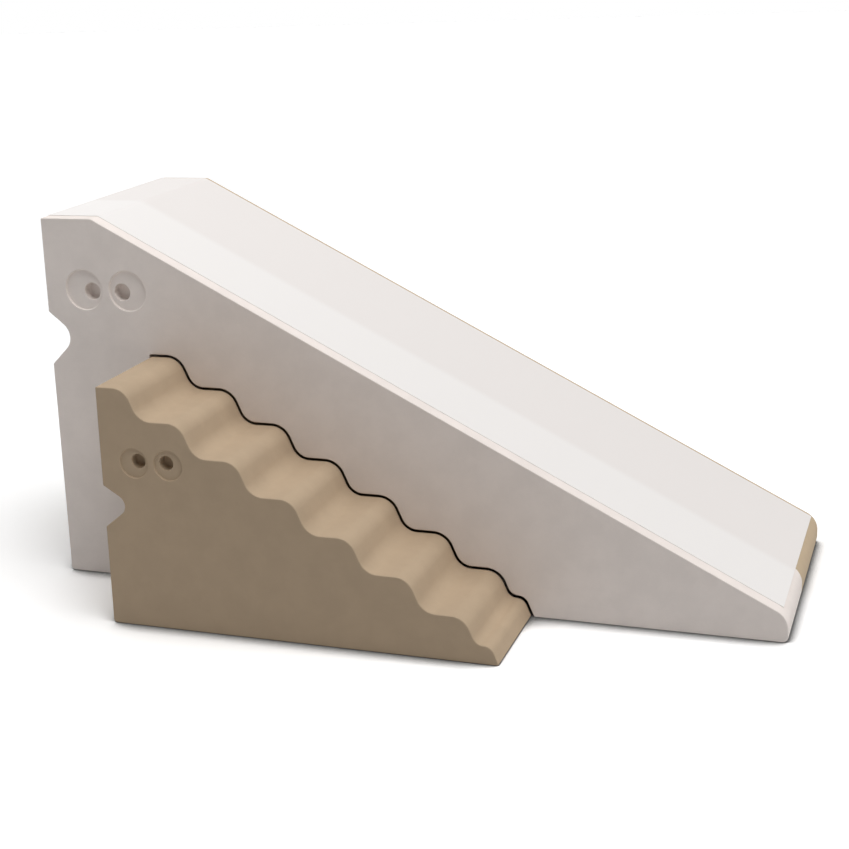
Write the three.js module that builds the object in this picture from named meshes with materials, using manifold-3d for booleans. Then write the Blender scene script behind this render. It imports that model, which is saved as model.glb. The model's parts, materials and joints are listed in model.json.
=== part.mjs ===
// A toddler's slide of firm foam with a flight of soft steps that pulls out of its side.
// Millimetres, +Z up, +X from the steps' high end towards the slide's nose, +Y away from the steps.
// The origin is on the floor, under the middle of the whole toy with its steps pulled out.

import * as THREE from 'three';
import * as BufferGeometryUtils from 'three/addons/utils/BufferGeometryUtils.js';
import Module from 'manifold-3d';

// Foam stock: both slabs and the steps are built up from plies of one thickness
const plyThickness = 57;
const nearPlyCount = 3;
const farPlyCount = 4;

// Slide, measured from the foot of its back and from the floor
const slideLength = 1180;
const slideHeight = 595;
const platformLength = 89.2;
const platformBendRadius = 12;
const noseHeight = 39.6;
const noseRadius = 32;
const noseUnderRadius = 9;
const backLean = THREE.MathUtils.degToRad(2.05);
const footRadius = 6;

// Mouth notch in the slide's back, measured down from the platform. Its flanks would meet at the
// reach, counted in from the back, and the radius rounds them there.
const mouth = { drop: 150, opening: 86, reach: 48, rise: 4, radius: 26 };

// Eyes on the slide's two faces
const slideEyes = {
  drop: 112.6,
  inset: 67.8,
  spacing: 76.8,
  radius: 32.1,
  depth: 4,
  pupilRadius: 13.6,
  pupilDepth: 20,
  pupilShifts: [12.8, -11],
  pupilRise: -2.7,
};

// White sheet that is bonded along the platform and the run
const sheetThickness = 0.5;
const sheetNearMargin = 22;
const sheetFarMargin = 8;
const sheetOverhang = 8;
const bondThickness = 0.2;
const bondInset = 1;

// Steps, measured from the foot of their own back
const stairSetback = 179.4;
const stairHeight = 378.9;
const firstRise = 49.4;
const lowTreadHeight = 69.7;
const lastTreadHeight = 28.8;
const regularRiseCount = 5;
const topRun = 70.6;
const treadRun = 85.6;
const lastRun = 80.1;
const toeRun = 36;
const riserLean = THREE.MathUtils.degToRad(68);
const treadCurveRadius = 29;
const pocketClearance = 3.5;
const stairEngagement = 1;

// Finger notch in the steps' back
const gripNotch = { drop: 153.9, opening: 66.5, reach: 47, rise: 4, radius: 17 };

// Eyes on the steps' outer face
const stairEyes = {
  drop: 115.4,
  inset: 55.6,
  spacing: 56.4,
  radius: 23.2,
  depth: 3,
  pupilRadius: 11.2,
  pupilDepth: 18,
  pupilShifts: [6.8, -3.7],
  pupilRise: 3.3,
};

// How finely curves are cut into flats
const arcStep = THREE.MathUtils.degToRad(9);
const eyeSides = 48;

const nearThickness = nearPlyCount * plyThickness;
const farThickness = farPlyCount * plyThickness;
const slideWidth = nearThickness + farThickness;
const stairPullOut = nearThickness - stairEngagement;

const creamFoam = new THREE.MeshStandardMaterial({ color: 0xd9cfc6, roughness: 0.85, metalness: 0 });
const tanFoam = new THREE.MeshStandardMaterial({ color: 0xb09870, roughness: 0.85, metalness: 0 });
const whiteSheet = new THREE.MeshStandardMaterial({ color: 0xf3f1ee, roughness: 0.35, metalness: 0 });
const clearBond = new THREE.MeshStandardMaterial({ color: 0xe8e4da, roughness: 0.5, metalness: 0 });

const wasm = await Module();
wasm.setup();

// A corner of an outline at x, z, rounded by the radius
function corner(x, z, radius = 0) {
  return { at: new THREE.Vector2(x, z), radius };
}

// Points round an arc, both ends included
function arcPoints(centre, radius, startAngle, sweep) {
  const steps = Math.max(1, Math.ceil(Math.abs(sweep) / arcStep));
  const points = [];
  for (let i = 0; i <= steps; i += 1) {
    const angle = startAngle + (sweep * i) / steps;
    points.push(new THREE.Vector2(Math.cos(angle), Math.sin(angle)).multiplyScalar(radius).add(centre));
  }
  return points;
}

// Points along an open line of corners, with an arc at each rounded one.
// A radius is held to what half of each side that meets the corner has room for.
function roundedLine(corners) {
  const points = [];
  corners.forEach(({ at, radius }, i) => {
    if (radius === 0) {
      points.push(at.clone());
      return;
    }
    const before = corners[i - 1].at.clone().sub(at);
    const after = corners[i + 1].at.clone().sub(at);
    const room = Math.min(before.length(), after.length()) / 2;
    before.normalize();
    after.normalize();
    const halfAngle = Math.acos(THREE.MathUtils.clamp(before.dot(after), -1, 1)) / 2;
    const fitted = Math.min(radius, room * Math.tan(halfAngle));
    const reach = fitted / Math.tan(halfAngle);
    const inwards = before.clone().add(after).normalize();
    const centre = inwards.multiplyScalar(fitted / Math.sin(halfAngle)).add(at);
    const first = before.clone().multiplyScalar(reach).add(at).sub(centre);
    const turn = Math.sign(after.cross(before));
    points.push(...arcPoints(centre, fitted, first.angle(), turn * (Math.PI - 2 * halfAngle)));
  });
  return points;
}

// How far a leaning back has come forward at a height above its foot
function leanAt(height) {
  return height * Math.tan(backLean);
}

// A rounded V in a leaning back, read downwards. The back's foot is at x = 0 and its top at z = top.
function notchCorners(notch, top) {
  const upper = top - notch.drop;
  const lower = upper - notch.opening;
  const middle = (upper + lower) / 2 + notch.rise;
  return [
    corner(leanAt(upper), upper),
    corner(leanAt(middle) + notch.reach, middle, notch.radius),
    corner(leanAt(lower), lower),
  ];
}

// Slope of the run, from the platform's end down to the nose
const platformEnd = leanAt(slideHeight) + platformLength;
const slope = Math.atan2(slideHeight - noseHeight, slideLength - platformEnd);
const runNormal = new THREE.Vector2(Math.sin(slope), Math.cos(slope));
const runDirection = new THREE.Vector2(Math.cos(slope), -Math.sin(slope));
const noseReach = noseRadius * Math.tan((Math.PI / 2 - slope) / 2);
const runEnd = new THREE.Vector2(slideLength, noseHeight).addScaledVector(runDirection, -noseReach);

// The top line of the slide, from the back to the end of the run, raised by an offset
function topLine(offset) {
  const bendReach = platformBendRadius * Math.tan(slope / 2);
  const bendCentre = new THREE.Vector2(platformEnd - bendReach, slideHeight - platformBendRadius);
  return [
    new THREE.Vector2(leanAt(slideHeight), slideHeight + offset),
    ...arcPoints(bendCentre, platformBendRadius + offset, Math.PI / 2, -slope),
    runEnd.clone().addScaledVector(runNormal, offset),
  ];
}

// The nose, from the end of the run round to the floor
function noseLine() {
  const upper = new THREE.Vector2(slideLength - noseRadius, noseHeight - noseReach);
  const under = new THREE.Vector2(slideLength - noseUnderRadius, noseUnderRadius);
  return [
    ...arcPoints(upper, noseRadius, Math.PI / 2 - slope, slope - Math.PI / 2).slice(1),
    ...arcPoints(under, noseUnderRadius, 0, -Math.PI / 2),
  ];
}

// Treads and risers from the back's top to the toe, moved out square to themselves by an offset.
// The foot of the steps' back is at x = 0.
function treadCorners(offset) {
  const regularRise = (stairHeight - firstRise - lowTreadHeight) / regularRiseCount;
  const heights = [stairHeight];
  const risers = [];
  for (let i = 0; i <= regularRiseCount; i += 1) {
    heights.push(stairHeight - firstRise - regularRise * i);
    risers.push(topRun + treadRun * i);
  }
  heights.push(lastTreadHeight, 0);
  risers.push(risers.at(-1) + lastRun);
  risers.push(risers.at(-1) + toeRun);
  const corners = [corner(leanAt(stairHeight + offset) - offset / Math.cos(backLean), stairHeight + offset)];
  risers.forEach((riser, i) => {
    const middle = (heights[i] + heights[i + 1]) / 2;
    const riserAt = (z) => riser + offset / Math.sin(riserLean) - (z - middle) / Math.tan(riserLean);
    const upper = heights[i] + offset;
    corners.push(corner(riserAt(upper), upper, treadCurveRadius + offset));
    if (i === risers.length - 1) {
      corners.push(corner(riserAt(0), 0));
    } else {
      const lower = heights[i + 1] + offset;
      corners.push(corner(riserAt(lower), lower, treadCurveRadius - offset));
    }
  });
  return corners;
}

// A leaning back with its notch, read down to its rounded foot and along the floor to a reach
function backLine(notch, top, reach) {
  return roundedLine([...notchCorners(notch, top), corner(0, 0, footRadius), corner(reach, 0)]);
}

function farOutline() {
  const back = backLine(mouth, slideHeight, stairSetback / 2);
  return new THREE.Shape([...topLine(0), ...noseLine(), ...back.reverse()]);
}

// The near slab's pocket is the steps' own outline plus a clearance, with a plain back wall, open below
function nearOutline() {
  const place = new THREE.Vector2(stairSetback, 0);
  const pocket = roundedLine(treadCorners(pocketClearance)).map((point) => point.add(place));
  const wallFoot = new THREE.Vector2(-pocketClearance / Math.cos(backLean), 0).add(place);
  const back = backLine(mouth, slideHeight, stairSetback / 2);
  return new THREE.Shape([...topLine(0), ...noseLine(), ...pocket.reverse(), wallFoot, ...back.reverse()]);
}

function stairOutline() {
  const back = backLine(gripNotch, stairHeight, topRun);
  return new THREE.Shape([...roundedLine(treadCorners(0)), ...back.reverse()]);
}

// The sheet and its bond are strips between two offsets of the slide's top line
function stripOutline(lower, upper, overhang) {
  const under = topLine(lower);
  const over = topLine(upper);
  if (overhang > 0) {
    under.push(under.at(-1).clone().addScaledVector(runDirection, overhang));
    over.push(over.at(-1).clone().addScaledVector(runDirection, overhang));
  }
  return new THREE.Shape([...over, ...under.reverse()]);
}

// A body with an outline in x and z that fills y from 0 to its thickness
function slab(shape, thickness) {
  const geometry = new THREE.ExtrudeGeometry(shape, { depth: thickness, bevelEnabled: false });
  geometry.rotateX(Math.PI / 2);
  geometry.translate(0, thickness, 0);
  return geometry;
}

function toSolid(geometry) {
  const bare = geometry.clone();
  bare.deleteAttribute('normal');
  bare.deleteAttribute('uv');
  const merged = BufferGeometryUtils.mergeVertices(bare);
  const vertProperties = new Float32Array(merged.attributes.position.array);
  const triVerts = new Uint32Array(merged.index.array);
  return new wasm.Manifold(new wasm.Mesh({ numProp: 3, vertProperties, triVerts }));
}

function toGeometry(solid) {
  const { vertProperties, triVerts } = solid.getMesh();
  const geometry = new THREE.BufferGeometry();
  geometry.setAttribute('position', new THREE.BufferAttribute(vertProperties, 3));
  geometry.setIndex(new THREE.BufferAttribute(triVerts, 1));
  return geometry;
}

// Sinks a pair of round eyes, each with a deeper pupil, into the face of a slab at y = faceY
function sinkEyes(geometry, eyes, top, faceY) {
  let solid = toSolid(geometry);
  const height = top - eyes.drop;
  eyes.pupilShifts.forEach((shift, i) => {
    const x = leanAt(height) + eyes.inset + eyes.spacing * i;
    const cuts = [
      { x, z: height, radius: eyes.radius, depth: eyes.depth },
      { x: x + shift, z: height + eyes.pupilRise, radius: eyes.pupilRadius, depth: eyes.pupilDepth },
    ];
    for (const cut of cuts) {
      const drill = new THREE.CylinderGeometry(cut.radius, cut.radius, cut.depth * 2, eyeSides);
      drill.translate(cut.x, faceY, cut.z);
      solid = solid.subtract(toSolid(drill));
    }
  });
  return toGeometry(solid);
}

function addPiece(group, name, geometry, material, y) {
  const mesh = new THREE.Mesh(geometry, material);
  mesh.name = name;
  mesh.position.y = y;
  group.add(mesh);
}

// The slide body: cream plies with the pocket, tan plies behind them, and the white sheet
function buildSlide() {
  const slide = new THREE.Group();
  for (let i = 0; i < nearPlyCount; i += 1) {
    let ply = slab(nearOutline(), plyThickness);
    if (i === 0) {
      ply = sinkEyes(ply, slideEyes, slideHeight, 0);
    }
    addPiece(slide, `near_slab_ply_${i + 1}`, ply, creamFoam, plyThickness * i);
  }
  for (let i = 0; i < farPlyCount; i += 1) {
    let ply = slab(farOutline(), plyThickness);
    if (i === farPlyCount - 1) {
      ply = sinkEyes(ply, slideEyes, slideHeight, plyThickness);
    }
    addPiece(slide, `far_slab_ply_${i + 1}`, ply, tanFoam, nearThickness + plyThickness * i);
  }
  const sheetTop = bondThickness + sheetThickness;
  const sheetWidth = slideWidth - sheetNearMargin - sheetFarMargin;
  const sheet = slab(stripOutline(bondThickness, sheetTop, sheetOverhang), sheetWidth);
  addPiece(slide, 'slide_sheet', sheet, whiteSheet, sheetNearMargin);
  const bond = slab(stripOutline(0, bondThickness, 0), sheetWidth - bondInset * 2);
  addPiece(slide, 'sheet_bond', bond, clearBond, sheetNearMargin + bondInset);
  return slide;
}

// The pull-out steps, which stand with their inner face at the pocket's mouth
function buildStair() {
  const stair = new THREE.Group();
  for (let i = 0; i < nearPlyCount; i += 1) {
    let ply = slab(stairOutline(), plyThickness);
    if (i === 0) {
      ply = sinkEyes(ply, stairEyes, stairHeight, 0);
    }
    addPiece(stair, `stair_ply_${i + 1}`, ply, tanFoam, plyThickness * i);
  }
  stair.position.set(stairSetback, -stairPullOut, 0);
  return stair;
}

const part = new THREE.Group();
part.add(buildSlide(), buildStair());
const middle = new THREE.Box3().setFromObject(part).getCenter(new THREE.Vector3());
part.position.set(-middle.x, -middle.y, 0);

export default part;
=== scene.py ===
"""A toddler's slide of firm foam with a flight of pull-out steps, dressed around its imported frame.

Metres, +Z up. +X runs from the slide's high back to its nose, +Y from the steps to the far side.
Every foam block and the white sheet is an outline in x and z that is carried along y.
"""

import json
import math
from collections import namedtuple

import bmesh
import bpy
import numpy as np
from mathutils import Matrix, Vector
from mathutils.geometry import delaunay_2d_cdt


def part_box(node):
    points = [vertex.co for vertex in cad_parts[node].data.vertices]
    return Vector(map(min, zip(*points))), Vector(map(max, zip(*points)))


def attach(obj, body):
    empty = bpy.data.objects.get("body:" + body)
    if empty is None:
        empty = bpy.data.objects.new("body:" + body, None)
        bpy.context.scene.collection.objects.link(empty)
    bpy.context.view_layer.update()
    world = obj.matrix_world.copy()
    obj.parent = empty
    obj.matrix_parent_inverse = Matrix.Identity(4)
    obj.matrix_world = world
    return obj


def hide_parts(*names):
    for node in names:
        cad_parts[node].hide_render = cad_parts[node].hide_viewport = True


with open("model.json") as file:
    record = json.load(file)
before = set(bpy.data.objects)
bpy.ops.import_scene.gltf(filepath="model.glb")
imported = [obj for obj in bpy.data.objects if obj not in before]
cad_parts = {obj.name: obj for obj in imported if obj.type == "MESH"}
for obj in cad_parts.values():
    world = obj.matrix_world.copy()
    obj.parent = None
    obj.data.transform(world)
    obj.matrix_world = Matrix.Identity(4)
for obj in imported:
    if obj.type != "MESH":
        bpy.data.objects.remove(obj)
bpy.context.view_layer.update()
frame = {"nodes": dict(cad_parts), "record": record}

# Slide, measured from the foot of its back and from the floor
SLIDE_LENGTH = 1.180
SLIDE_HEIGHT = 0.595
PLATFORM_LENGTH = 0.0892
PLATFORM_BEND_RADIUS = 0.012
NOSE_HEIGHT = 0.0396
NOSE_RADIUS = 0.032
NOSE_UNDER_RADIUS = 0.009
BACK_LEAN = math.radians(2.05)
FOOT_RADIUS = 0.006

# White sheet, bonded along the platform and the run
SHEET_THICKNESS = 0.0005
BOND_THICKNESS = 0.0002
SHEET_OVERHANG = 0.008

# Steps, measured from the foot of their own back
STAIR_SETBACK = 0.1794
STAIR_HEIGHT = 0.3789
FIRST_RISE = 0.0494
LOW_TREAD_HEIGHT = 0.0697
LAST_TREAD_HEIGHT = 0.0288
REGULAR_RISE_COUNT = 5
TOP_RUN = 0.0706
TREAD_RUN = 0.0856
LAST_RUN = 0.0801
TOE_RUN = 0.036
RISER_LEAN = math.radians(68)
TREAD_CURVE_RADIUS = 0.029
POCKET_CLEARANCE = 0.0035

# Rounded V in a back: measured down from the top, with the reach at which its flanks would meet
Notch = namedtuple("Notch", "drop opening reach rise radius")
MOUTH = Notch(drop=0.150, opening=0.086, reach=0.048, rise=0.004, radius=0.026)
GRIP_NOTCH = Notch(drop=0.1539, opening=0.0665, reach=0.047, rise=0.004, radius=0.017)

# Pair of round recesses with a deeper round hole in each: down from the top, and in from the leaning back
Eyes = namedtuple("Eyes", "drop inset spacing radius depth pupil_radius pupil_depth pupil_shifts pupil_rise")
SLIDE_EYES = Eyes(
    drop=0.1126,
    inset=0.0678,
    spacing=0.0768,
    radius=0.0321,
    depth=0.004,
    pupil_radius=0.0136,
    pupil_depth=0.020,
    pupil_shifts=(0.0128, -0.0110),
    pupil_rise=-0.0027,
)
STAIR_EYES = Eyes(
    drop=0.1154,
    inset=0.0556,
    spacing=0.0564,
    radius=0.0232,
    depth=0.003,
    pupil_radius=0.0112,
    pupil_depth=0.018,
    pupil_shifts=(0.0068, -0.0037),
    pupil_rise=0.0033,
)

# How soft the cut edges are
EDGE_RADIUS = 0.0016
JOINT_EDGE_RADIUS = 0.0003
CORNER_RADIUS = 0.0024
POCKET_CORNER_RADIUS = 0.003
SHEET_CORNER_RADIUS = 0.0002
SHEET_EDGE_RADIUS = 0.0001
EYE_LIP_RADIUS = 0.0014
PUPIL_LIP_RADIUS = 0.0011
EYE_FLOOR_RADIUS = 0.0012
PUPIL_FLOOR_RADIUS = 0.003

# How finely the surfaces are divided
ARC_STEP = math.radians(3.5)
LEAST_ARC_PIECE = 0.0004
LEAST_ARC_STEPS = 3
SIDE_STEP = 0.012
LEAST_WALL_STEPS = 2
FILL_STEP = 0.014
EDGE_STEPS = 5
EYE_SIDES = 96
EYE_FLOOR_RINGS = 5
LEAST_SIDE = 0.00005
WELD = 0.000005
FILL_TOLERANCE = WELD / 10

# The fill's output type in which only the triangles inside the outline are kept
INSIDE_ONLY = 1

# Place of the slide in the frame: its nose, its near face, the joint of its two slabs and its far face
NOSE_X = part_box("near_slab_ply_1")[1].x
BACK_X = NOSE_X - SLIDE_LENGTH
NEAR_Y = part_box("near_slab_ply_1")[0].y
JOINT_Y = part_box("far_slab_ply_1")[0].y
FAR_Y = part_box("far_slab_ply_4")[1].y
STAIR_BACK_X = BACK_X + STAIR_SETBACK
STAIR_NEAR_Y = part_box("stair_ply_1")[0].y
STAIR_FAR_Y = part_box("stair_ply_3")[1].y
SHEET_NEAR_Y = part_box("slide_sheet")[0].y
SHEET_FAR_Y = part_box("slide_sheet")[1].y

PLATFORM_END = SLIDE_HEIGHT * math.tan(BACK_LEAN) + PLATFORM_LENGTH
SLOPE = math.atan2(SLIDE_HEIGHT - NOSE_HEIGHT, SLIDE_LENGTH - PLATFORM_END)

BODY_OF = {node: name for name, nodes in frame["record"]["behaviour"]["bodies"].items() for node in nodes}

# Finishes, as linear colours
CREAM = (0.845, 0.772, 0.727)
TAN = (0.440, 0.334, 0.229)
# The far slab's tan is the steps' tan made brighter: painted light for the slab's nose end, not a different
# foam
PAINTED_LIGHT_TAN = (0.520, 0.404, 0.274)
SHEET_OVER_CREAM = (0.815, 0.787, 0.768)
SHEET_OVER_TAN = (0.772, 0.731, 0.708)
SHEET_CLOUD_COLOUR = (0.72, 0.70, 0.69)
BOND_DARK = (0.74, 0.71, 0.64)
BOND_LIGHT = (0.84, 0.82, 0.76)

# Noises that the finishes are made of: their scale a metre, octaves, and how much the finer ones count
Noise = namedtuple("Noise", "scale detail roughness")
FOAM_CLOUD = Noise(scale=24, detail=4, roughness=0.6)
FOAM_SPECK = Noise(scale=620, detail=2, roughness=0.5)
FOAM_CELL = Noise(scale=1500, detail=1, roughness=0.5)
FOAM_WAVE = Noise(scale=45, detail=2, roughness=0.5)
SHEET_CLOUD = Noise(scale=9, detail=2, roughness=0.5)
SHEET_GRAIN = Noise(scale=380, detail=2, roughness=0.5)
BOND_FLECK = Noise(scale=300, detail=3, roughness=0.5)

# Skins: least roughness, what a noise adds to it, specular level, and the strength and depth of the relief
Skin = namedtuple("Skin", "roughness spread specular relief depth")
FOAM_SKIN = Skin(roughness=0.72, spread=0.16, specular=0.35, relief=0.35, depth=0.0004)
SHEET_SKIN = Skin(roughness=0.36, spread=0.12, specular=0.5, relief=0.12, depth=0.0003)
BOND_ROUGHNESS = 0.4
BOND_ROUGHNESS_SPREAD = 0.2

# Foam's mottling: how far its tone goes either way, where its clouds begin and end, and each noise's share
MOTTLING = 0.058
CLOUD_EDGES = (0.3, 0.7)
CLOUD_SHARE = 0.45
SPECK_SHARE = 0.37
CELL_SHARE = 0.18

# Each noise's height in the foam's relief and in the sheet's, beside the sheet's grain of height 1
CELL_HEIGHT = 0.5
SPECK_HEIGHT = 0.8
WAVE_HEIGHT = 1.5
SHEET_CLOUD_HEIGHT = 3

# Sheet: how wide its change of tone before the joint is, how cloudy it is and how its grain is drawn out
SHEET_BLEND = 0.024
SHEET_CLOUDING = 0.05
SHEET_GRAIN_SCALE = (0.15, 1, 0.15)

# Floor and surroundings. Over the contact range of openness the seen floor goes from shade to white
FLOOR_SIZE = 30.0
FLOOR_DROP = 0.0004
FLOOR_BOUNCE = 0.66
FLOOR_SEEN = 1.2
CONTACT_REACH = 0.06
CONTACT_RANGE = (0.5, 0.765)
CONTACT_SHADE = 0.14
CONTACT_SAMPLES = 8
WORLD_LIGHT = 0.085

# Soft light from a whole side of the room, by its direction, its spread in degrees and its strength
Sun = namedtuple("Sun", "away spread power")
SUNS = {
    "nose_sun": Sun(away=(0.51, -0.10, 0.845), spread=50, power=1.68),
    "top_sun": Sun(away=(0.0, 0.0, 1.0), spread=60, power=0.99),
}

# Soft boxes, by their place, what they face, their side and their power
SoftBox = namedtuple("SoftBox", "place target side power")
SOFT_BOXES = {
    "top_box": SoftBox(place=(-0.7, 0.0, 1.9), target=(-0.3, 0.0, 0.3), side=1.4, power=5.5),
    "nose_box": SoftBox(place=(1.5, -0.5, 0.3), target=(0.5, 0.0, 0.0), side=0.5, power=0.5),
    "left_box": SoftBox(place=(-1.4, -1.3, 0.8), target=(-0.5, -0.1, 0.3), side=1.0, power=1.3),
}

# Camera: its place from the foot of the slide's back at the near face, and its yaw, pitch and roll
CAMERA_FROM_FOOT = (1.3984, -2.0592, 0.9934)
CAMERA_ANGLES = np.radians((-20.1545, 17.6543, 2.7615))
SENSOR_WIDTH = 36.0
FOCAL_PIXELS = 1548.87
PHOTO_PIXELS = 849


def lean_at(height):
    """How far the leaning back has come forward at a height: the height times the lean's tangent."""
    return height * math.tan(BACK_LEAN)


def lengths_of(vectors):
    """Length of each vector along the last axis."""
    return np.sqrt(np.sum(vectors * vectors, axis=-1))


def rounded_outline(corners):
    """Points round a closed line of corners, each given as x, z and radius.

    At a corner of half angle h the arc touches both sides at radius / tan h from the corner. Its centre
    lies at radius / sin h on the bisector b, and with s square to b its points are centre + radius times
    (s sin a - b cos a), as a runs from h - 90 to 90 - h degrees. A radius is held to what half of each
    side has room for.
    """
    table = np.array(corners, float)
    places, radii = table[:, :2], table[:, 2]
    before = np.roll(places, 1, axis=0) - places
    after = np.roll(places, -1, axis=0) - places
    room = np.minimum(lengths_of(before), lengths_of(after)) / 2
    before /= lengths_of(before)[:, None]
    after /= lengths_of(after)[:, None]
    half = np.arccos(np.clip(np.sum(before * after, axis=1), -1, 1)) / 2
    fitted = np.minimum(radii, room * np.tan(half))
    bisector = (before + after) / lengths_of(before + after)[:, None]
    square = (after - before) / lengths_of(after - before)[:, None]
    centres = places + bisector * (fitted / np.sin(half))[:, None]
    arcs = []
    for centre, radius, b, s, h in zip(centres, fitted, bisector, square, half):
        turn = math.pi / 2 - h
        steps = math.ceil(2 * turn / max(ARC_STEP, LEAST_ARC_PIECE / radius))
        angle = np.linspace(-turn, turn, max(LEAST_ARC_STEPS, steps) + 1)[:, None]
        arcs.append(centre + radius * (s * np.sin(angle) - b * np.cos(angle)))
    return anticlockwise(divided(np.concatenate(arcs), SIDE_STEP))


def divided(points, step):
    """A closed line with each side cut into equal pieces no longer than a step. Doubled points go."""
    sides = np.roll(points, -1, axis=0) - points
    counts = np.ceil((lengths_of(sides) - LEAST_SIDE) / step).clip(0).astype(int)
    which = np.repeat(np.arange(len(points)), counts)
    place = np.arange(counts.sum()) - np.repeat(np.cumsum(counts) - counts, counts)
    return points[which] + sides[which] * (place / counts[which])[:, None]


def anticlockwise(points):
    """The closed line in the order that makes its area, the sum of the cross products, positive."""
    ahead = np.roll(points, -1, axis=0)
    area = np.sum(points[:, 0] * ahead[:, 1] - points[:, 1] * ahead[:, 0])
    return points if area > 0 else points[::-1]


def inward_steps(points):
    """For each point of an anticlockwise line, the step that moves both its sides inwards by one unit.

    It is the sum of the two sides' inward normals, divided by one plus their dot product.
    """
    side = np.roll(points, -1, axis=0) - points
    side /= lengths_of(side)[:, None]
    normal = np.column_stack((-side[:, 1], side[:, 0]))
    before = np.roll(normal, 1, axis=0)
    return (before + normal) / (1 + np.sum(before * normal, axis=1))[:, None]


def notch_corners(notch, top):
    """Upper lip, rounded bottom and lower lip of a V in the leaning back, read downwards."""
    upper = top - notch.drop
    lower = upper - notch.opening
    middle = (upper + lower) / 2 + notch.rise
    return [
        (lean_at(upper), upper, CORNER_RADIUS),
        (lean_at(middle) + notch.reach, middle, notch.radius),
        (lean_at(lower), lower, CORNER_RADIUS),
    ]


def back_corners(notch, top):
    """The back from its notch down to its rounded foot."""
    return notch_corners(notch, top) + [(0, 0, FOOT_RADIUS)]


def slide_top_corners():
    """Platform, run and nose, from the back's top to the floor."""
    return [
        (lean_at(SLIDE_HEIGHT), SLIDE_HEIGHT, CORNER_RADIUS),
        (PLATFORM_END, SLIDE_HEIGHT, PLATFORM_BEND_RADIUS),
        (SLIDE_LENGTH, NOSE_HEIGHT, NOSE_RADIUS),
        (SLIDE_LENGTH, 0, NOSE_UNDER_RADIUS),
    ]


def tread_corners(offset, top_radius):
    """Treads and risers from the back's top to the toe, moved out square to themselves by an offset.

    A riser at x leans so that its place at a height z is x + offset / sin(lean) - (z - middle) / tan(lean).
    """
    regular_rise = (STAIR_HEIGHT - FIRST_RISE - LOW_TREAD_HEIGHT) / REGULAR_RISE_COUNT
    counted = range(REGULAR_RISE_COUNT + 1)
    heights = [STAIR_HEIGHT]
    heights += [STAIR_HEIGHT - FIRST_RISE - regular_rise * i for i in counted]
    heights += [LAST_TREAD_HEIGHT, 0]
    risers = [TOP_RUN + TREAD_RUN * i for i in counted]
    risers += [risers[-1] + LAST_RUN, risers[-1] + LAST_RUN + TOE_RUN]
    top = STAIR_HEIGHT + offset
    corners = [(lean_at(top) - offset / math.cos(BACK_LEAN), top, top_radius)]
    for riser, high, low in zip(risers, heights, heights[1:]):
        upper = high + offset
        lower = low + offset if low > 0 else 0
        lower_radius = TREAD_CURVE_RADIUS - offset if low > 0 else CORNER_RADIUS
        for z, radius in ((upper, TREAD_CURVE_RADIUS + offset), (lower, lower_radius)):
            x = riser + offset / math.sin(RISER_LEAN) - (z - (high + low) / 2) / math.tan(RISER_LEAN)
            corners.append((x, z, radius))
    return corners


def moved(corners, x):
    """The corners moved along x."""
    return [(place + x, z, radius) for place, z, radius in corners]


def far_outline():
    """The tan slab behind: platform, run, nose and notched back."""
    corners = slide_top_corners() + back_corners(MOUTH, SLIDE_HEIGHT)[::-1]
    return rounded_outline(moved(corners, BACK_X))


def near_outline():
    """The cream slab: as the tan one, with a pocket in the steps' own outline plus a clearance."""
    pocket = tread_corners(POCKET_CLEARANCE, POCKET_CORNER_RADIUS)
    wall_foot = (-POCKET_CLEARANCE / math.cos(BACK_LEAN), 0, CORNER_RADIUS)
    pocket = moved(pocket[::-1] + [wall_foot], STAIR_SETBACK)
    corners = slide_top_corners() + pocket + back_corners(MOUTH, SLIDE_HEIGHT)[::-1]
    return rounded_outline(moved(corners, BACK_X))


def stair_outline():
    """The steps: wavy treads and a notched back."""
    corners = tread_corners(0, CORNER_RADIUS) + back_corners(GRIP_NOTCH, STAIR_HEIGHT)[::-1]
    return rounded_outline(moved(corners, STAIR_BACK_X))


def sheet_outline():
    """The sheet's section: the slide's top line between two offsets, past the run's end by an overhang."""
    nose_reach = NOSE_RADIUS * math.tan((math.pi / 2 - SLOPE) / 2)
    run_end = SHEET_OVERHANG - nose_reach
    corners = []
    for offset in (BOND_THICKNESS, BOND_THICKNESS + SHEET_THICKNESS):
        back = (lean_at(SLIDE_HEIGHT), SLIDE_HEIGHT + offset, SHEET_CORNER_RADIUS)
        bend_x = PLATFORM_END + offset * math.tan(SLOPE / 2)
        bend = (bend_x, SLIDE_HEIGHT + offset, PLATFORM_BEND_RADIUS + offset)
        end_x = SLIDE_LENGTH + run_end * math.cos(SLOPE) + offset * math.sin(SLOPE)
        end_z = NOSE_HEIGHT - run_end * math.sin(SLOPE) + offset * math.cos(SLOPE)
        line = [back, bend, (end_x, end_z, SHEET_CORNER_RADIUS)]
        corners += line[::-1] if corners else line
    return rounded_outline(moved(corners, BACK_X))


def grid_faces(rows, columns):
    """Quads over a grid of rows of points, closed round each row."""
    index = np.arange(rows * columns).reshape(rows, columns)
    ahead = np.roll(index, -1, axis=1)
    return np.stack((index[:-1], ahead[:-1], ahead[1:], index[1:]), axis=-1).reshape(-1, 4)


def quarter_arc():
    """Angles from 0 to 90 degrees round a rounded edge."""
    return np.linspace(0, math.pi / 2, EDGE_STEPS + 1)


def edge_rims(radius):
    """How far an outline is drawn in, and how far along y, round an edge's quarter circle.

    Both run from the face, at 1 - sin a and 1 - cos a times the radius, for a from 0 to 90 degrees.
    """
    angle = quarter_arc()
    return radius * (1 - np.sin(angle)), radius * (1 - np.cos(angle))


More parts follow.
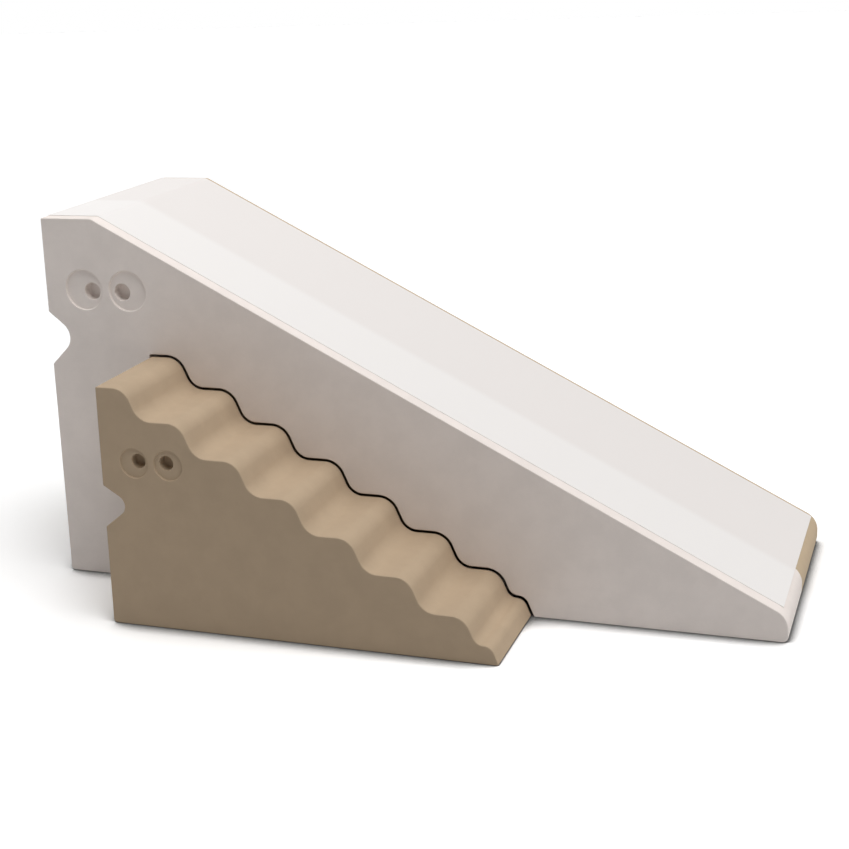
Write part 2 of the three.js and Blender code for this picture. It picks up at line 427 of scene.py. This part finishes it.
def slab_wall(outline, near, far, near_edge, far_edge):
    """The wall of a slab: its outline carried from y = near to y = far, with a rounded edge at each face."""
    near_inset, near_along = edge_rims(near_edge)
    far_inset, far_along = edge_rims(far_edge)
    middle_count = max(LEAST_WALL_STEPS, math.ceil((far - near) / SIDE_STEP))
    middle = np.linspace(near + near_edge, far - far_edge, middle_count + 1)[1:-1]
    inset = np.concatenate((near_inset, np.zeros(len(middle)), far_inset[::-1]))
    along = np.concatenate((near + near_along, middle, far - far_along[::-1]))
    rims = outline + inset[:, None, None] * inward_steps(outline)
    depth = np.broadcast_to(along[:, None], rims.shape[:2])
    rings = np.stack((rims[..., 0], depth, rims[..., 1]), axis=-1)
    return rings.reshape(-1, 3), grid_faces(*rings.shape[:2])


def distance_inside(points, loop):
    """How far each point lies inside a closed line, as a negative number outside it.

    The distance is to the nearest side. A point is inside where a ray along +x crosses an odd number.
    """
    side = np.roll(loop, -1, axis=0) - loop
    reach = points[:, None] - loop
    share = np.clip(np.sum(reach * side, axis=-1) / np.sum(side * side, axis=-1), 0, 1)
    gap = lengths_of(reach - share[..., None] * side).min(axis=1)
    straddles = (reach[..., 1] >= 0) != (reach[..., 1] - side[:, 1] >= 0)
    turns_left = side[:, 0] * reach[..., 1] - side[:, 1] * reach[..., 0] > 0
    crossings = np.sum(straddles & (turns_left == (side[:, 1] > 0)), axis=1)
    return np.where(crossings % 2 == 1, gap, -gap)


def flat_face(rim, holes, y):
    """The flat face inside a rim and round its holes, as triangles over a grid of inner points.

    The inner points keep half a grid step away from every line. A triangle whose corners all lie on one
    hole's line would cover that hole, and is left out.
    """
    low, high = rim.min(axis=0), rim.max(axis=0)
    across, up = (np.arange(a, b, FILL_STEP) for a, b in zip(low, high))
    inner = np.stack(np.meshgrid(across, up), axis=-1).reshape(-1, 2)
    clear = distance_inside(inner, rim) > FILL_STEP / 2
    for hole in holes:
        clear &= distance_inside(inner, hole) < -FILL_STEP / 2
    parts = [rim, *holes, inner[clear]]
    points = np.concatenate(parts)
    part_of = np.repeat(np.arange(len(parts)), [len(part) for part in parts])
    index = np.arange(len(points))
    loops = [index[part_of == number] for number in range(len(parts) - 1)]
    sides = np.concatenate([np.column_stack((loop, np.roll(loop, -1))) for loop in loops])
    fill = delaunay_2d_cdt(points.tolist(), sides.tolist(), [], INSIDE_ONLY, FILL_TOLERANCE)
    _, _, faces, origins, _, _ = fill
    origin = np.array([found[0] for found in origins])
    corners = origin[np.array([list(face) for face in faces])]
    on_one = np.ptp(part_of[corners], axis=1) == 0
    covers_hole = on_one & (part_of[corners[:, 0]] > 0) & (part_of[corners[:, 0]] <= len(holes))
    placed = np.column_stack((points[:, 0], np.full(len(points), y), points[:, 1]))
    return placed, corners[~covers_hole]


def eye_rings(eyes):
    """Radius, depth and share of the pupil's shift of each ring, from the face to the hole's middle.

    Lip, wall and fillet of the recess come first, then its floor, which runs from the recess's centre to
    the hole's, and then lip, wall, fillet and floor of the hole. Lips and fillets are quarter circles.
    """
    angle = quarter_arc()
    lip, fall = 1 - np.sin(angle), 1 - np.cos(angle)
    fillet, sink = 1 - np.cos(angle), np.sin(angle)
    outer_floor = eyes.radius - EYE_FLOOR_RADIUS
    inner_floor = eyes.pupil_radius + PUPIL_LIP_RADIUS
    floor_share = np.linspace(0, 1, EYE_FLOOR_RINGS + 1)
    well_floor = (eyes.pupil_radius - PUPIL_FLOOR_RADIUS) * np.linspace(1, 0, EYE_FLOOR_RINGS + 1)
    well_top = eyes.depth + PUPIL_LIP_RADIUS
    well_bottom = eyes.pupil_depth - PUPIL_FLOOR_RADIUS
    well_wall = np.linspace(well_top, well_bottom, EYE_FLOOR_RINGS + 1)[1:-1]
    parts = [
        (eyes.radius + EYE_LIP_RADIUS * lip, EYE_LIP_RADIUS * fall, 0),
        (eyes.radius - EYE_FLOOR_RADIUS * fillet, eyes.depth - EYE_FLOOR_RADIUS * (1 - sink), 0),
        (outer_floor + (inner_floor - outer_floor) * floor_share[1:-1], eyes.depth, floor_share[1:-1]),
        (eyes.pupil_radius + PUPIL_LIP_RADIUS * lip, eyes.depth + PUPIL_LIP_RADIUS * fall, 1),
        (eyes.pupil_radius, well_wall, 1),
        (eyes.pupil_radius - PUPIL_FLOOR_RADIUS * fillet, well_bottom + PUPIL_FLOOR_RADIUS * sink, 1),
        (well_floor[1:], eyes.pupil_depth, 1),
    ]
    return np.concatenate([np.stack(np.broadcast_arrays(*part), axis=-1) for part in parts])


def eye_surfaces(eyes, back_x, top, face, inwards):
    """Each eye of a pair: circles whose radius, depth and centre follow the rings' profile."""
    radius, depth, share = eye_rings(eyes).T[..., None]
    angle = np.linspace(0, 2 * math.pi, EYE_SIDES, endpoint=False)
    height = top - eyes.drop
    surfaces = []
    for i, shift in enumerate(eyes.pupil_shifts):
        middle = back_x + lean_at(height) + eyes.inset + eyes.spacing * i
        x = middle + share * shift + radius * np.cos(angle)
        z = height + share * eyes.pupil_rise + radius * np.sin(angle)
        y = np.broadcast_to(face + inwards * depth, x.shape)
        rings = np.stack((x, y, z), axis=-1)
        surfaces.append((rings.reshape(-1, 3), grid_faces(*rings.shape[:2])))
    return surfaces


def slab_surfaces(outline, near, far, near_edge, far_edge, near_eyes=(), far_eyes=()):
    """Wall, faces and eyes of one slab. Each face fills the wall's end rim, round its eyes' first rings."""
    points, faces = slab_wall(outline, near, far, near_edge, far_edge)
    count = len(outline)
    surfaces = [(points, faces), *near_eyes, *far_eyes]
    ends = ((points[:count], near_eyes, near), (points[-count:], far_eyes, far))
    for rim, eyes, y in ends:
        holes = [eye_points[:EYE_SIDES, ::2] for eye_points, _ in eyes]
        surfaces.append(flat_face(rim[:, ::2], holes, y))
    return surfaces


def area_normals(mesh):
    """Normal of each vertex: the sum of its faces' normals, each weighted by the face's area."""
    places = np.zeros(len(mesh.vertices) * 3)
    mesh.vertices.foreach_get("co", places)
    places = places.reshape(-1, 3)
    mesh.calc_loop_triangles()
    corners = np.zeros(len(mesh.loop_triangles) * 3, int)
    mesh.loop_triangles.foreach_get("vertices", corners)
    a, b, c = places[corners.reshape(-1, 3)].transpose(1, 0, 2)
    normals = np.zeros_like(places)
    np.add.at(normals, corners, np.repeat(np.cross(b - a, c - a), 3, axis=0))
    return normals / lengths_of(normals)[:, None]


def make_piece(name, surfaces, material, nodes):
    """Joins surfaces into one closed mesh that rides with its nodes' body and stands for them."""
    points, faces, start = [], [], 0
    for part_points, part_faces in surfaces:
        points.append(part_points)
        faces += (part_faces + start).tolist()
        start += len(part_points)
    mesh = bpy.data.meshes.new(name)
    mesh.from_pydata(np.concatenate(points).tolist(), [], faces)
    shape = bmesh.new()
    shape.from_mesh(mesh)
    bmesh.ops.remove_doubles(shape, verts=shape.verts, dist=WELD)
    bmesh.ops.recalc_face_normals(shape, faces=shape.faces)
    shape.to_mesh(mesh)
    shape.free()
    mesh.polygons.foreach_set("use_smooth", np.ones(len(mesh.polygons), bool))
    mesh.normals_split_custom_set_from_vertices(area_normals(mesh))
    mesh.materials.append(material)
    piece = bpy.data.objects.new(name, mesh)
    bpy.context.scene.collection.objects.link(piece)
    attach(piece, BODY_OF[nodes[0]])
    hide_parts(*nodes)
    return piece


class Value:
    """An output socket. Sums and products with values or numbers add their Math nodes."""

    def __init__(self, shader, socket):
        self.shader = shader
        self.socket = socket

    def math(self, operation, first, second):
        """What a Math node gives for two values or numbers."""
        return self.shader.node("ShaderNodeMath", {"operation": operation}, {0: first, 1: second})

    def __add__(self, other):
        return self.math("ADD", self, other)

    def __radd__(self, other):
        return self.math("ADD", other, self)

    def __mul__(self, other):
        return self.math("MULTIPLY", self, other)

    def __rmul__(self, other):
        return self.math("MULTIPLY", other, self)


class Shader:
    """The nodes of one material or world."""

    def __init__(self, owner):
        owner.use_nodes = True
        self.owner = owner
        self.tree = owner.node_tree
        self.tree.nodes.clear()

    def node(self, kind, settings, values, output=0):
        """Adds a node: its settings first, then a number, colour or link for each socket named."""
        made = self.tree.nodes.new(kind)
        for name, setting in settings.items():
            setattr(made, name, setting)
        for name, value in values.items():
            if isinstance(value, Value):
                self.tree.links.new(value.socket, made.inputs[name])
            else:
                made.inputs[name].default_value = value
        return Value(self, made.outputs[output]) if len(made.outputs) else None

    def place(self):
        """Where on the piece a point lies, in metres."""
        return self.node("ShaderNodeTexCoord", {}, {}, "Object")

    def axis(self, vector, name):
        """One of a vector's three parts: X, Y or Z."""
        return self.node("ShaderNodeSeparateXYZ", {}, {"Vector": vector}, name)

    def noise(self, vector, noise):
        """A noise from 0 to 1, most of it near a half."""
        values = {
            "Vector": vector,
            "Scale": noise.scale,
            "Detail": noise.detail,
            "Roughness": noise.roughness,
        }
        return self.node("ShaderNodeTexNoise", {}, values, "Fac")

    def scaled(self, vector, scale):
        """A vector with each part times its own scale."""
        return self.node("ShaderNodeMapping", {}, {"Vector": vector, "Scale": scale})

    def ramp(self, value, low, high, kind="LINEAR"):
        """0 below low and 1 above high, with a straight or a smooth step between."""
        values = {"Value": value, "From Min": low, "From Max": high}
        return self.node("ShaderNodeMapRange", {"interpolation_type": kind}, values)

    def smooth(self, value, low, high):
        """The ramp with a smooth step."""
        return self.ramp(value, low, high, "SMOOTHSTEP")

    def mix(self, share, first, second):
        """The colour that goes from the first to the second as the share goes from 0 to 1."""
        return self.node("ShaderNodeMix", {"data_type": "RGBA"}, {0: share, 6: first, 7: second}, 2)

    def bump(self, height, skin):
        """The surface's normal, turned by the slopes of a height at the skin's strength and depth."""
        values = {"Height": height, "Strength": skin.relief, "Distance": skin.depth}
        return self.node("ShaderNodeBump", {}, values)

    def principled(self, **values):
        """A Principled surface; its sockets are named as Blender does, with _ for a space."""
        named = {name.replace("_", " "): value for name, value in values.items()}
        surface = self.node("ShaderNodeBsdfPrincipled", {}, named)
        self.node("ShaderNodeOutputMaterial", {}, {"Surface": surface})
        return self.owner


def tone(colour, brightness=1.0):
    """A linear colour times a brightness, for a colour socket."""
    red, green, blue = colour
    return (red * brightness, green * brightness, blue * brightness, 1.0)


def grey(brightness):
    """A white of a brightness, for a colour socket."""
    return tone((1, 1, 1), brightness)


def foam_material(name, colour):
    """Firm closed-cell foam: faint cloudy mottling, fine cells and a dull, slightly uneven skin.

    The mottling is a weighted sum of clouds, specks and cells, and the relief one of specks, cells and
    long waves.
    """
    shader = Shader(bpy.data.materials.new(name))
    place = shader.place()
    cloud = shader.smooth(shader.noise(place, FOAM_CLOUD), *CLOUD_EDGES)
    speck = shader.noise(place, FOAM_SPECK)
    cell = shader.noise(place, FOAM_CELL)
    wave = shader.noise(place, FOAM_WAVE)
    mottle = cloud * CLOUD_SHARE + speck * SPECK_SHARE + cell * CELL_SHARE
    relief = cell * CELL_HEIGHT + speck * SPECK_HEIGHT + wave * WAVE_HEIGHT
    return shader.principled(
        Base_Color=shader.mix(mottle, tone(colour, 1 - MOTTLING), tone(colour, 1 + MOTTLING)),
        Roughness=FOAM_SKIN.roughness + speck * FOAM_SKIN.spread,
        Specular_IOR_Level=FOAM_SKIN.specular,
        Normal=shader.bump(relief, FOAM_SKIN),
    )


def sheet_material(name, over_cream, over_tan):
    """Milky plastic sheet. The foam below shows through a little: cream up to the joint, tan past it."""
    shader = Shader(bpy.data.materials.new(name))
    place = shader.place()
    depth = shader.axis(place, "Y")
    past_joint = shader.smooth(depth, JOINT_Y - SHEET_BLEND, JOINT_Y)
    cloud = shader.noise(place, SHEET_CLOUD)
    grain = shader.noise(shader.scaled(place, SHEET_GRAIN_SCALE), SHEET_GRAIN)
    colour = shader.mix(past_joint, tone(over_cream), tone(over_tan))
    return shader.principled(
        Base_Color=shader.mix(cloud * SHEET_CLOUDING, colour, tone(SHEET_CLOUD_COLOUR)),
        Roughness=SHEET_SKIN.roughness + grain * SHEET_SKIN.spread,
        Specular_IOR_Level=SHEET_SKIN.specular,
        Normal=shader.bump(grain + cloud * SHEET_CLOUD_HEIGHT, SHEET_SKIN),
    )


def bond_material(name):
    """Clear dried adhesive with small flecks."""
    shader = Shader(bpy.data.materials.new(name))
    fleck = shader.noise(shader.place(), BOND_FLECK)
    return shader.principled(
        Base_Color=shader.mix(fleck, tone(BOND_DARK), tone(BOND_LIGHT)),
        Roughness=BOND_ROUGHNESS + fleck * BOND_ROUGHNESS_SPREAD,
    )


def seen_ray(shader):
    """1 for a ray from the camera, or off a glossy or through a clear surface, and 0 for other rays."""
    kinds = ("Is Camera Ray", "Is Glossy Ray", "Is Transmission Ray")
    camera, glossy, clear = (shader.node("ShaderNodeLightPath", {}, {}, kind) for kind in kinds)
    return shader.smooth(camera + glossy + clear, 0, 1)


def floor_material():
    """Pale floor. Seen by the camera it is bright enough to be white, and it keeps the shadow.

    Close to the foam, where less of the room is open above it, the seen floor falls off further.
    """
    shader = Shader(bpy.data.materials.new("studio_floor"))
    reach = {"Distance": CONTACT_REACH}
    openness = shader.node("ShaderNodeAmbientOcclusion", {"samples": CONTACT_SAMPLES}, reach, "AO")
    open_share = shader.ramp(openness, *CONTACT_RANGE)
    shade = shader.mix(open_share, grey(CONTACT_SHADE), grey(FLOOR_SEEN))
    plain = shader.node("ShaderNodeBsdfDiffuse", {}, {"Color": grey(FLOOR_BOUNCE)})
    bright = shader.node("ShaderNodeBsdfDiffuse", {}, {"Color": shade})
    surface = shader.node("ShaderNodeMixShader", {}, {0: seen_ray(shader), 1: plain, 2: bright})
    shader.node("ShaderNodeOutputMaterial", {}, {"Surface": surface})
    return shader.owner


def make_floor():
    """A wide level floor just under the foam."""
    half = FLOOR_SIZE / 2
    corners = [(x, y, -FLOOR_DROP) for x, y in ((-half, -half), (half, -half), (half, half), (-half, half))]
    mesh = bpy.data.meshes.new("studio_floor")
    mesh.from_pydata(corners, [], [(0, 1, 2, 3)])
    mesh.materials.append(floor_material())
    floor = bpy.data.objects.new("studio_floor", mesh)
    bpy.context.scene.collection.objects.link(floor)


def make_world():
    """Even white surroundings. The camera sees them white, and their light is of a set strength."""
    world = bpy.data.worlds.new("studio")
    shader = Shader(world)
    strength = seen_ray(shader) * (1 - WORLD_LIGHT) + WORLD_LIGHT
    background = shader.node("ShaderNodeBackground", {}, {"Color": grey(1), "Strength": strength})
    shader.node("ShaderNodeOutputWorld", {}, {"Surface": background})
    bpy.context.scene.world = world


def add_lamp(name, kind, place, away, power):
    """A lamp that shines against the direction away."""
    lamp = bpy.data.lights.new(name, kind)
    lamp.energy = power
    back = np.array(away, float)
    back /= lengths_of(back)
    right = np.cross((0, 1, 0), back)
    right /= lengths_of(right)
    holder = bpy.data.objects.new(name, lamp)
    holder.matrix_world = frame_matrix(right, np.cross(back, right), back, place)
    bpy.context.scene.collection.objects.link(holder)
    return lamp


def light_scene():
    """The suns, as soft as their spread is wide, and then the square soft boxes."""
    for name, sun in SUNS.items():
        lamp = add_lamp(name, "SUN", (0, 0, 0), sun.away, sun.power)
        lamp.angle = math.radians(sun.spread)
    for name, box in SOFT_BOXES.items():
        lamp = add_lamp(name, "AREA", box.place, np.subtract(box.place, box.target), box.power)
        lamp.shape = "SQUARE"
        lamp.size = box.side


def frame_matrix(right, up, back, place):
    """A matrix whose columns are three directions and a place."""
    matrix = np.eye(4)
    matrix[:3] = np.column_stack((right, up, back, place))
    return Matrix(matrix.tolist())


def make_camera():
    """The photograph's viewpoint: turned by yaw, tipped down by pitch and rolled about its own axis."""
    yaw, pitch, roll = CAMERA_ANGLES
    ahead = np.array((np.sin(yaw) * np.cos(pitch), np.cos(yaw) * np.cos(pitch), -np.sin(pitch)))
    level = np.array((np.cos(yaw), -np.sin(yaw), 0.0))
    down = np.cross(ahead, level)
    right = np.cos(roll) * level + np.sin(roll) * down
    below = np.cos(roll) * down - np.sin(roll) * level
    lens = bpy.data.cameras.new("camera")
    lens.lens = SENSOR_WIDTH * FOCAL_PIXELS / PHOTO_PIXELS
    lens.sensor_width = SENSOR_WIDTH
    camera = bpy.data.objects.new("camera", lens)
    place = np.array(CAMERA_FROM_FOOT) + (BACK_X, NEAR_Y, 0)
    camera.matrix_world = frame_matrix(right, -below, -ahead, place)
    bpy.context.scene.collection.objects.link(camera)
    bpy.context.scene.camera = camera


make_camera()

cream_foam = foam_material("cream_foam", CREAM)
tan_foam = foam_material("tan_foam", TAN)
# The far slab's foam: the brighter tan, which is painted light on its nose end
painted_light_tan_foam = foam_material("painted_light_tan_foam", PAINTED_LIGHT_TAN)
white_sheet = sheet_material("white_sheet", SHEET_OVER_CREAM, SHEET_OVER_TAN)

near_slab = make_piece(
    "near_slab",
    slab_surfaces(
        near_outline(), NEAR_Y, JOINT_Y, EDGE_RADIUS, JOINT_EDGE_RADIUS,
        near_eyes=eye_surfaces(SLIDE_EYES, BACK_X, SLIDE_HEIGHT, NEAR_Y, 1),
    ),
    cream_foam, ["near_slab_ply_1", "near_slab_ply_2", "near_slab_ply_3"],
)
far_slab = make_piece(
    "far_slab",
    slab_surfaces(
        far_outline(), JOINT_Y, FAR_Y, JOINT_EDGE_RADIUS, EDGE_RADIUS,
        far_eyes=eye_surfaces(SLIDE_EYES, BACK_X, SLIDE_HEIGHT, FAR_Y, -1),
    ),
    painted_light_tan_foam, ["far_slab_ply_1", "far_slab_ply_2", "far_slab_ply_3", "far_slab_ply_4"],
)
stair_block = make_piece(
    "stair_block",
    slab_surfaces(
        stair_outline(), STAIR_NEAR_Y, STAIR_FAR_Y, EDGE_RADIUS, EDGE_RADIUS,
        near_eyes=eye_surfaces(STAIR_EYES, STAIR_BACK_X, STAIR_HEIGHT, STAIR_NEAR_Y, 1),
    ),
    tan_foam, ["stair_ply_1", "stair_ply_2", "stair_ply_3"],
)
make_piece(
    "sliding_sheet",
    slab_surfaces(sheet_outline(), SHEET_NEAR_Y, SHEET_FAR_Y, SHEET_EDGE_RADIUS, SHEET_EDGE_RADIUS),
    white_sheet, ["slide_sheet"],
)
frame["nodes"]["sheet_bond"].data.materials.clear()
frame["nodes"]["sheet_bond"].data.materials.append(bond_material("clear_bond"))

make_floor()
make_world()
light_scene()

bpy.context.scene.view_settings.view_transform = "Standard"
